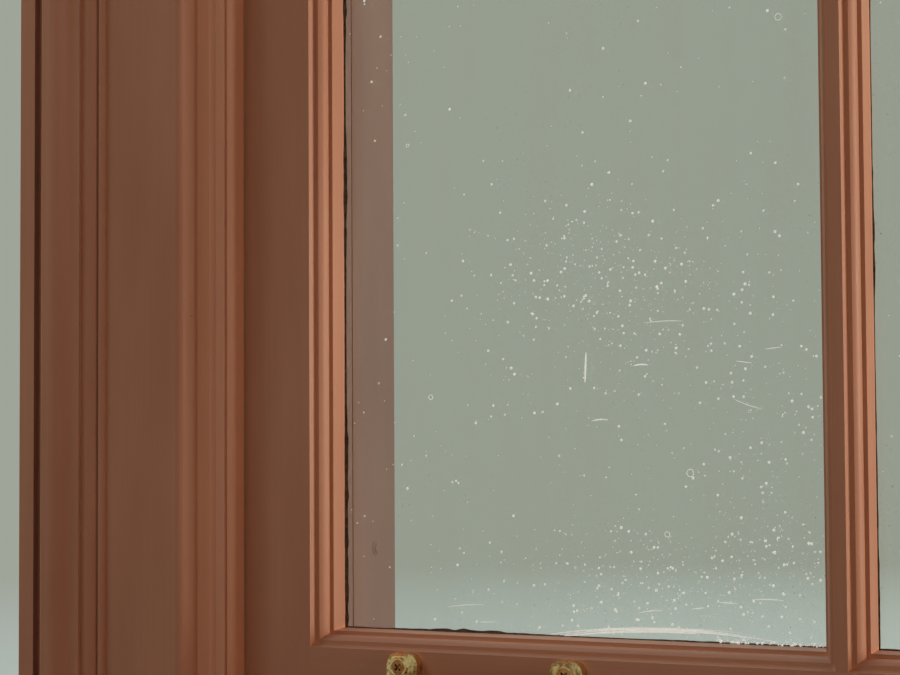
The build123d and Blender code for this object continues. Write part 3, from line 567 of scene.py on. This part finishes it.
# %% Where the panes are
def pane_corners(sash):
    """The lower left sight corner of each pane of a sash, as (x, z), and the front of its glass."""
    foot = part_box("lower_bottom_rail" if sash == "lower" else "upper_meeting_rail")[1].z
    lefts = [sight_left + column * (pane_w + bar_w) for column in range(3)]
    feet = [foot + row * (pane_h + bar_w) for row in range(2)]
    return [(x, z) for z in feet for x in lefts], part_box(f"{sash}_panes")[0].y


# %% Dirt fillets
FILLET_STEP = 1.6 * MM
TUCKED_IN, OFF_THE_GLASS = 0.15 * MM, 0.01 * MM


def dirt_fillet(start, along, inward, length, seed, least, fullest, swell=None):
    """A fillet along one edge of a pane, from least to fullest millimetres wide.

    Between the two its width follows slow^1.5 (0.3 + 0.7 quick), from a slow and a quick wander, and where
    swell gives a place and a reach it is fullest there. Its height is a quarter to over a half of its width,
    and across it falls as (1 - t)^2, from the wood at t = 0 to the glass at t = 1.
    """
    places = np.arange(0, length + FILLET_STEP, FILLET_STEP)
    slow, quick = wander(places, 48 * MM, seed), wander(places, 5 * MM, seed + 1)
    if swell:
        slow = 0.4 * slow + np.exp(-(((places - swell[0]) / swell[1]) ** 2))
    width = (least + (fullest - least) * np.minimum(slow, 1) ** 1.5 * (0.3 + 0.7 * quick)) * MM
    height = width * (0.25 + 0.30 * wander(places, 9 * MM, seed + 2))
    t = np.linspace(0, 1, 5)
    across = width[:, None] * t - TUCKED_IN
    above = height[:, None] * (1 - t) ** 2 + OFF_THE_GLASS
    indoors = np.array([0, -1, 0])
    line = np.array(start) + places[:, None] * np.array(along)
    points = line[:, None] + across[..., None] * np.array(inward) + above[..., None] * indoors
    return surface(points)


def old_dirt(name, dark, light):
    """Matt crumbly dirt in two tones."""
    finish = Finish(name, **{"Roughness": 0.92})
    lumps = finish.noise(420.0, finish.place(), detail=3.0)
    finish.feed(finish.shader, "Base Color", finish.mix(lumps.between(0.35, 0.7), dark, light))
    finish.bump(lumps, 0.3 * MM, 0.8)
    return finish.material


pane_dirt = old_dirt("dirt of many years", linear(46, 34, 26), linear(96, 72, 56))
EAST, WEST, UP, DOWN = (1, 0, 0), (-1, 0, 0), (0, 0, 1), (0, 0, -1)
for sash in ("lower", "upper"):
    fillets = []
    corners, face = pane_corners(sash)
    for number, (x, z) in enumerate(corners):
        seed = 40 * number + (7 if sash == "lower" else 507)
        seen = (sash, number) == ("lower", 0)
        swell = (78 * MM, 36 * MM) if seen else None
        left_least, left_most = (1.0, 3.0) if seen else (0.5, 1.5)
        fillets += [
            dirt_fillet((x, face, z), UP, EAST, pane_h, seed, left_least, left_most),
            dirt_fillet((x + pane_w, face, z), UP, WEST, pane_h, seed + 10, 0.4, 1.2),
            dirt_fillet((x, face, z), EAST, UP, pane_w, seed + 20, 0.6, 2.2, swell),
            dirt_fillet((x, face, z + pane_h), EAST, DOWN, pane_w, seed + 30, 0.3, 1.0),
        ]
    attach(piece_of(f"{sash}_pane_dirt", fillets, pane_dirt), f"{sash}_sash")

# %% [markdown]
# ## Marks on the glass
#
# Rain and splashes have dried on the panes as small white domes and rings, thickest in four drifts on
# the pane that the photograph shows. A few scratches catch the light, and a rag has left curved lines
# low down. The places of the larger marks were read off the photograph, as pixels. Every pane of both
# sashes has domes and rings.


# %% Domes, rings and strokes
def domes(centres, radii, seed, rise=0.22):
    """Low irregular domes: an outline that wobbles by an eighth, and a middle raised by rise x radius."""
    chance = np.random.default_rng(seed)
    turn = np.linspace(0, 2 * np.pi, 8, endpoint=False)
    wobble = 1 + 0.25 * (chance.random((len(centres), 8)) - 0.5)
    shares = np.array([0.0, 0.62, 1.0])
    heights = np.array([1.0, 0.72, 0.0]) * rise
    spread = radii[:, None, None] * shares[:, None] * wobble[:, None, :]
    across, above = spread * np.cos(turn), spread * np.sin(turn)
    out = -np.broadcast_to(radii[:, None, None] * heights[:, None], across.shape)
    points = centres[:, None, None] + np.stack([across, out, above], axis=-1)
    return [surface(dome, closed=True) for dome in points]


def ring(centre, radius, thick):
    """A dried drop's rim: half of a flattened bead, thick wide, bent into a circle."""
    turn = np.linspace(0, 2 * np.pi, 20, endpoint=False)
    section = np.linspace(0, np.pi, 4)[:, None]
    reach = radius + thick / 2 * np.cos(section)
    across, above = reach * np.cos(turn), reach * np.sin(turn)
    out = np.broadcast_to(-0.4 * thick * np.sin(section), across.shape)
    return surface(np.array(centre) + np.stack([across, out, above], axis=-1), closed=True)


def stroke(line, width):
    """A ribbon along a line on the glass, widest in the middle: width x sqrt(sin(pi t)), with a low ridge."""
    along = np.gradient(line, axis=0)
    side = np.stack([-along[:, 2], np.zeros(len(line)), along[:, 0]], axis=-1)
    side /= np.linalg.norm(side, axis=1, keepdims=True)
    half = 0.5 * width * np.sqrt(np.sin(np.pi * np.linspace(0.02, 0.98, len(line))))[:, None]
    crest = line + np.array([0, -0.25, 0]) * half
    return surface(np.stack([line - side * half, crest, line + side * half], axis=1))


def bend(start, end, sag, count=14):
    """Pixels of an arc from start to end that stands sag pixels above the straight line half way."""
    t = np.linspace(0, 1, count)[:, None]
    straight = np.array(start) * (1 - t) + np.array(end) * t
    return straight - np.array([0, 4 * sag]) * t * (1 - t)


# %% Marks on every pane
GLASS_GAP = 0.02 * MM
MARGIN = 2 * MM
DOMES_A_PANE, RINGS_A_PANE = 190, 7

# A drift is its middle and its spread in pixels, and its number of domes.
DRIFTS = (
    ((600, 285), (62, 52), 430),
    ((675, 585), (95, 36), 480),
    ((772, 470), (34, 95), 230),
    ((650, 380), (130, 130), 330),
)

# A scratch or wipe is two ends, a sag and a width, all in pixels.
SCRATCHES = (
    ((586, 352), (585, 383), 0, 1.9),
    ((633, 366), (648, 365), 1, 1.3),
    ((592, 421), (607, 420), 1, 1.2),
    ((644, 323), (683, 321), 1, 0.6),
    ((736, 361), (752, 363), 0, 0.7),
    ((765, 349), (781, 347), 0, 0.7),
    ((734, 399), (762, 409), -1, 0.6),
    ((639, 613), (662, 611), 1, 0.8),
    ((692, 609), (704, 608), 0, 1.0),
    ((716, 602), (738, 604), 0, 0.8),
    ((752, 600), (784, 601), 1, 0.9),
    ((447, 607), (484, 605), 1, 0.5),
    ((478, 622), (497, 622), 0, 0.5),
)
WIPES = (
    ((551, 634), (735, 636), 6.5, 1.4),
    ((560, 635), (752, 639), 7.5, 1.0),
    ((572, 634), (768, 641), 9.0, 0.7),
    ((556, 637), (700, 634), 3.5, 1.6),
    ((600, 632), (778, 642), 5.0, 0.8),
    ((620, 631), (742, 633), 3.0, 0.5),
)
PIXEL = 0.57 * MM

# Lumps of residue stand in a row along the foot of the seen pane.
RESIDUE_LUMPS, RESIDUE_FROM, RESIDUE_TO, RESIDUE_DOWN = 90, 716, 834, 640
RESIDUE_SPREAD = 1.3 * MM


def dried_marks(name):
    """Lime left by dried drops, with a painted glow that stands for daylight coming through it."""
    # The emission is a painted glow, not a lamp.
    steady = {"Roughness": 0.85, "Emission Color": (0.85, 0.88, 0.84, 1), "Emission Strength": 0.42}
    finish = Finish(name, **steady)
    patches = finish.noise(600.0, finish.place(), detail=2.0)
    tone = finish.mix(patches.between(0.3, 0.7), linear(206, 208, 202), linear(240, 240, 236))
    finish.feed(finish.shader, "Base Color", tone)
    return finish.material


glass_marks = dried_marks("dried lime with painted glow")
chance = np.random.default_rng(12)
for sash in ("lower", "upper"):
    corners, face = pane_corners(sash)
    marks = []
    for number, (x, z) in enumerate(corners):
        depth = face - GLASS_GAP
        low = np.array([x + MARGIN, depth, z + MARGIN])
        span = np.array([pane_w - 2 * MARGIN, 0, pane_h - 2 * MARGIN])
        seen = (sash, number) == ("lower", 0)
        centres = low + chance.random((DOMES_A_PANE, 3)) * span
        if seen:
            clouds = [chance.normal(middle, spread, (count, 2)) for middle, spread, count in DRIFTS]
            centres = np.concatenate([centres, at_depth(np.concatenate(clouds), depth)])
            inside = ((centres >= low) & (centres <= low + span))[:, [0, 2]]
            centres = centres[np.all(inside, axis=1)]
        radii = (0.20 + 0.62 * chance.random(len(centres)) ** 3) * MM
        marks += domes(centres, radii, seed=number + 3)
        for place in low + chance.random((RINGS_A_PANE, 3)) * span:
            marks.append(ring(place, (0.7 + 1.1 * chance.random()) * MM, 0.30 * MM))
        if seen:
            lines = [(bend(a, b, sag), wide * PIXEL) for a, b, sag, wide in SCRATCHES + WIPES]
            marks += [stroke(at_depth(line, depth), wide) for line, wide in lines]
            across = chance.uniform(RESIDUE_FROM, RESIDUE_TO, RESIDUE_LUMPS)
            row = at_depth(np.stack([across, np.full_like(across, RESIDUE_DOWN)], axis=1), depth)
            row[:, 2] = z + np.abs(chance.normal(0, RESIDUE_SPREAD, RESIDUE_LUMPS))
            radii = (0.2 + 0.6 * chance.random(RESIDUE_LUMPS) ** 2) * MM
            marks += domes(row, radii, seed=77, rise=0.7)
    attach(piece_of(f"{sash}_glass_marks", marks, glass_marks), f"{sash}_sash")

# %% [markdown]
# ## Sash cords
#
# Each cord is braided cotton. It leaves a knot in the edge of the sash, goes up its groove, over the
# pulley and down to the eye of the weight. The part over the wheel stays with the frame and the knot
# goes with the sash, while the straight runs are built in place and do not follow the sash.


# %% Braided cord
def braided_cotton(name):
    """Sixteen strands cross in two directions: two sets of slanted stripes over and under each other."""
    finish = Finish(name, **{"Roughness": 0.8})
    flat = finish.node("ShaderNodeUVMap", {"uv_map": "UVMap"}).outputs[0]
    split = finish.node("ShaderNodeSeparateXYZ", {}, {0: flat})
    around, along = Number(finish, split.outputs["X"]), Number(finish, split.outputs["Y"])
    right_hand, left_hand = (around * 8 + along) * math.tau, (around * 8 - along) * math.tau
    weave = right_hand.sine() * left_hand.sine() * 0.5 + 0.5
    grime = finish.noise(60.0, finish.place(), detail=3.0).between(0.45, 0.75)
    tone = finish.mix(weave, linear(150, 138, 112), linear(206, 196, 170))
    tone = finish.mix(grime * 0.6, tone, linear(126, 112, 90))
    finish.feed(finish.shader, "Base Color", tone)
    finish.bump(weave, 0.5 * MM, 0.9)
    return finish.material


def tube(path, radius, name, material, braid=9 * MM):
    """A round tube along a path in one upright plane, with its own UV.

    A ring stands at each point of the path, square to it: radius x (cos a, sin a) on the plane's own
    side and on the path's side. U goes once around, and V grows by 1 for each braid length.
    """
    path = np.array(path)
    ahead = np.gradient(path, axis=0)
    ahead /= np.linalg.norm(ahead, axis=1, keepdims=True)
    flat = np.array([0.0, 1.0, 0.0])
    aside = np.cross(ahead, flat)
    turn = np.linspace(0, 2 * np.pi, 12, endpoint=False)[None, :, None]
    points = path[:, None] + radius * (np.cos(turn) * flat + np.sin(turn) * aside[:, None])
    thing = piece_of(name, [surface(points, closed=True)], material)
    rows, columns = points.shape[:2]
    steps = np.linalg.norm(np.diff(path, axis=0), axis=1)
    gone = np.concatenate([[0], np.cumsum(steps)]) / braid
    row, column = (index.ravel() for index in np.indices((rows - 1, columns)))
    u = np.stack([column, column + 1, column + 1, column], axis=1) / columns
    v = np.stack([gone[row], gone[row], gone[row + 1], gone[row + 1]], axis=1)
    sheet = thing.data.uv_layers.new(name="UVMap")
    sheet.data.foreach_set("uv", np.stack([u, v], axis=-1).ravel())
    return thing


def knot(centre, radius, name, material):
    """A tight overhand knot: a ball whose radius is r (1 - 0.12 + 0.12 sin(3a + 4b)), a round, b down."""
    down = np.linspace(0.02, np.pi - 0.02, 14)[:, None]
    turn = np.linspace(0, 2 * np.pi, 24, endpoint=False)
    reach = radius * (0.88 + 0.12 * np.sin(3 * turn + 4 * down))
    level = reach * np.sin(down)
    ball = np.stack([level * np.cos(turn), level * np.sin(turn), reach * np.cos(down)], axis=-1)
    thing = piece_of(name, [surface(np.array(centre) + ball, closed=True)], material)
    thing.data.uv_layers.new(name="UVMap")
    return thing


# %% The four cords
CORD_R, WHEEL_R, KNOT_R = 3.0 * MM, 25.0 * MM, 6.0 * MM
KNOT_BELOW, EYE_BELOW = 260 * MM, 24 * MM
cord_cotton = braided_cotton("braided cotton")


def straight(x, y, top, foot, step=6 * MM):
    """Points of an upright line from one height to another, at most one step apart."""
    heights = np.linspace(top, foot, int(abs(top - foot) / step) + 2)
    return np.stack([np.full_like(heights, x), np.full_like(heights, y), heights], axis=-1)


for sash in ("lower", "upper"):
    sash_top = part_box("lower_stile_left" if sash == "lower" else "upper_top_rail")[1].z
    for side in ("left", "right"):
        node, weight = f"{sash}_sash_cord_{side}", f"{sash}_weight_{side}"
        wheel_low, wheel_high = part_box(f"{sash}_pulley_wheel_{side}")
        axle = (wheel_low + wheel_high) / 2
        sign = -1 if side == "left" else 1
        near, far = axle.x - sign * WHEEL_R, axle.x + sign * WHEEL_R
        knot_z = sash_top - KNOT_BELOW
        eye_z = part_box(weight)[1].z - EYE_BELOW
        turn = np.linspace(0, np.pi, 28)
        over_x, over_z = axle.x - sign * WHEEL_R * np.cos(turn), axle.z + WHEEL_R * np.sin(turn)
        over = np.stack([over_x, np.full_like(turn, axle.y), over_z], axis=-1)
        sash_run = tube(straight(near, axle.y, axle.z, knot_z), CORD_R, f"{node}_to_sash", cord_cotton)
        weight_run = tube(straight(far, axle.y, axle.z, eye_z), CORD_R, f"{node}_to_weight", cord_cotton)
        wrap = tube(over, CORD_R, f"{node}_over_wheel", cord_cotton)
        end = knot((near, axle.y, knot_z), KNOT_R, f"{node}_knot", cord_cotton)
        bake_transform(sash_run)
        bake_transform(weight_run)
        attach(wrap, "root")
        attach(end, f"{sash}_sash")
        for thing in (sash_run, weight_run, wrap, end):
            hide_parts(node)

# %% [markdown]
# ## Small things on the paint
#
# A nail head in the outer casing shows under its paint, and nibs of dried paint sit on the architrave,
# most of them beside its joint with the staff bead. Each is put where the ray through its pixel meets the
# piece.


# %% Nail head and paint nibs
def touch(piece_name, pixel):
    """Point and normal where the ray through a pixel meets a piece."""
    ray = Vector(rays(pixel)).normalized()
    hit, place, normal, _ = nodes[piece_name].ray_cast(eye, ray)
    if not hit:
        raise ValueError(f"no {piece_name} at pixel {pixel}")
    return np.array(place), np.array(normal)


def button(centre, normal, radius, rise):
    """A round swelling: its height over the face is rise x (1 - t^4), with a hollow around t = 0.72."""
    aside = np.cross(normal, [0, 0, 1])
    t, turn = np.linspace(0, 1, 14)[:, None], np.linspace(0, 2 * np.pi, 28, endpoint=False)
    height = rise * (1 - t**4) * (1 - 0.75 * np.exp(-(((t - 0.72) / 0.09) ** 2)))
    flat = (t * np.cos(turn))[..., None] * aside + (t * np.sin(turn))[..., None] * np.array([0, 0, 1])
    points = centre + radius * flat + np.broadcast_to(height[..., None], flat.shape) * normal
    return surface(points, closed=True)


NAIL_PIXEL, NAIL_R, NAIL_RISE = (376, 548), 4.4 * MM, 1.3 * MM
nail = [button(*touch("outer_casing_left", NAIL_PIXEL), NAIL_R, NAIL_RISE)]
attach(piece_of("nail_head", nail, shaded_outdoor_paint[UPRIGHT]), "root")

# A nib is its pixel, across and down, and its radius in millimetres.
NIBS = ((191, 296, 0.5), (194, 303, 0.4), (192, 316, 0.6), (191, 370, 0.3), (193, 405, 0.3), (41, 318, 0.4))
NIB_RISE = 0.4 * MM
nibs = [button(*touch("architrave_left", nib[:2]), nib[2] * MM, NIB_RISE) for nib in NIBS]
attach(piece_of("paint_nibs", nibs, frame_paint[UPRIGHT]), "root")

# %% [markdown]
# ## Studio
#
# The window stands on a pale floor that fades into an equally pale surround, so no horizon crosses the
# glass. An area lamp of power P at distance d lights a facing surface by P / (pi d^2), and a matt surface
# shows its own colour when that is pi. So a lamp's level of 1 is a power of pi^2 d^2. Daylight comes low
# from outdoors on the right and catches only what faces right. Warm bounces come from indoors, on the
# right and behind the eye. A weak cool light from the left leaves the shadow of the staff bead on the
# sash, and two lamps high outdoors tint what faces up. A lamp's size decides how sharp its reflection is,
# so the wide lamps only light surfaces, and others are mirrored in the brass and the satin paint.

# %% Floor and surround
SURROUND = (0.35, 0.375, 0.32)
FLOOR_TINT = (0.46, 0.48, 0.43, 1)
EVEN_TINT, EVEN_LEVEL = (0.8, 1.0, 1.15, 1), 0.085
corner_of_view = Vector((arris_left, sash_face, 2.0 * arris_foot))


def pale_floor(reach=60.0, fade_from=0.8, fade_to=3.0):
    """A wide floor whose far part shows the colour of the surround."""
    finish = Finish("pale floor", **{"Roughness": 0.9, "Base Color": FLOOR_TINT})
    where = finish.node("ShaderNodeTexCoord").outputs["Object"]
    length = finish.node("ShaderNodeVectorMath", {"operation": "LENGTH"}, {0: where})
    distance = Number(finish, length.outputs["Value"])
    glow = finish.node("ShaderNodeEmission", {}, {"Color": SURROUND, "Strength": 1.0})
    path = finish.node("ShaderNodeLightPath").outputs
    seen = Number(finish, path["Is Camera Ray"]) + path["Is Glossy Ray"] + path["Is Transmission Ray"]
    share = distance.between(fade_from, fade_to) * seen.clamped()
    parts = {0: share, 1: finish.shader.outputs[0], 2: glow.outputs[0]}
    blend = finish.node("ShaderNodeMixShader", {}, parts)
    finish.tree.links.new(blend.outputs[0], finish.output.inputs["Surface"])
    corners = [(-reach, -reach, 0), (reach, -reach, 0), (reach, reach, 0), (-reach, reach, 0)]
    mesh = bpy.data.meshes.new("floor")
    mesh.from_pydata(corners, [], [(0, 1, 2, 3)])
    mesh.materials.append(finish.material)
    floor = bpy.data.objects.new("floor", mesh)
    bpy.context.scene.collection.objects.link(floor)


def surround(light_level):
    """A world that is pale to the eye, in brass and through glass, and gives a little even light."""
    world = bpy.data.worlds.new("surround")
    bpy.context.scene.world = world
    world.use_nodes = True
    tree = world.node_tree
    tree.nodes.clear()
    path = tree.nodes.new("ShaderNodeLightPath").outputs
    mirrored, seen = (tree.nodes.new("ShaderNodeMath") for _ in range(2))
    lit, shown = (tree.nodes.new("ShaderNodeBackground") for _ in range(2))
    lit.inputs["Color"].default_value = EVEN_TINT
    lit.inputs["Strength"].default_value = light_level
    shown.inputs["Color"].default_value = (*SURROUND, 1)
    blend = tree.nodes.new("ShaderNodeMixShader")
    output = tree.nodes.new("ShaderNodeOutputWorld")
    tree.links.new(path["Is Glossy Ray"], mirrored.inputs[0])
    tree.links.new(path["Is Transmission Ray"], mirrored.inputs[1])
    tree.links.new(mirrored.outputs[0], seen.inputs[0])
    tree.links.new(path["Is Camera Ray"], seen.inputs[1])
    tree.links.new(seen.outputs[0], blend.inputs[0])
    tree.links.new(lit.outputs[0], blend.inputs[1])
    tree.links.new(shown.outputs[0], blend.inputs[2])
    tree.links.new(blend.outputs[0], output.inputs["Surface"])


pale_floor()
surround(EVEN_LEVEL)


# %% Lamps
LAMP_DISTANCE = 4.0


def lamp(name, azimuth, height, size, level, tint, seen_by):
    """A soft lamp. Azimuth is in degrees from +X towards outdoors, height in degrees above level.

    A lamp seen by "matt" lights surfaces and is not mirrored. One seen by "mirrors" is reflected by brass
    and gloss alone.
    """
    turn, lift = math.radians(azimuth), math.radians(height)
    heading = Vector((math.cos(turn) * math.cos(lift), math.sin(turn) * math.cos(lift), math.sin(lift)))
    data = bpy.data.lights.new(name, "AREA")
    data.shape = "RECTANGLE"
    data.size, data.size_y = size
    data.energy = level * (math.pi * LAMP_DISTANCE) ** 2
    data.color = tint
    thing = bpy.data.objects.new(name, data)
    bpy.context.scene.collection.objects.link(thing)
    turned = (-heading).to_track_quat("-Z", "Y").to_matrix().to_4x4()
    thing.matrix_world = Matrix.Translation(corner_of_view + heading * LAMP_DISTANCE) @ turned
    thing.visible_glossy = seen_by != "matt"
    thing.visible_diffuse = seen_by != "mirrors"


SMALL, MIDDLING, WIDE = (0.5, 0.7), (1.4, 1.8), (2.0, 2.0)
DAYLIGHT, WARM = (1.0, 0.92, 0.83), (1.0, 0.55, 0.25)
lamp("daylight", 22, 8, MIDDLING, 1.50, DAYLIGHT, "matt")
lamp("sheen of daylight", 22, 0, MIDDLING, 0.60, DAYLIGHT, "mirrors")
lamp("warm bounce", -14, 12, MIDDLING, 0.17, WARM, "matt")
lamp("room behind the eye", -105, 12, MIDDLING, 0.115, WARM, "matt")
lamp("room on the left", -150, 50, MIDDLING, 0.34, (0.80, 1.0, 0.96), "matt")
lamp("sky outdoors", 95, 35, WIDE, 0.5, (0.95, 1.0, 1.0), "matt")
lamp("sky overhead", 90, 65, WIDE, 0.24, (0.72, 0.90, 1.40), "matt")
lamp("card on the left", -150, 50, SMALL, 0.20, (1.0, 1.0, 0.96), "mirrors")
lamp("card on the right", -40, 30, SMALL, 0.20, (1.0, 0.97, 0.90), "mirrors")

bpy.context.scene.view_settings.view_transform = "Standard"
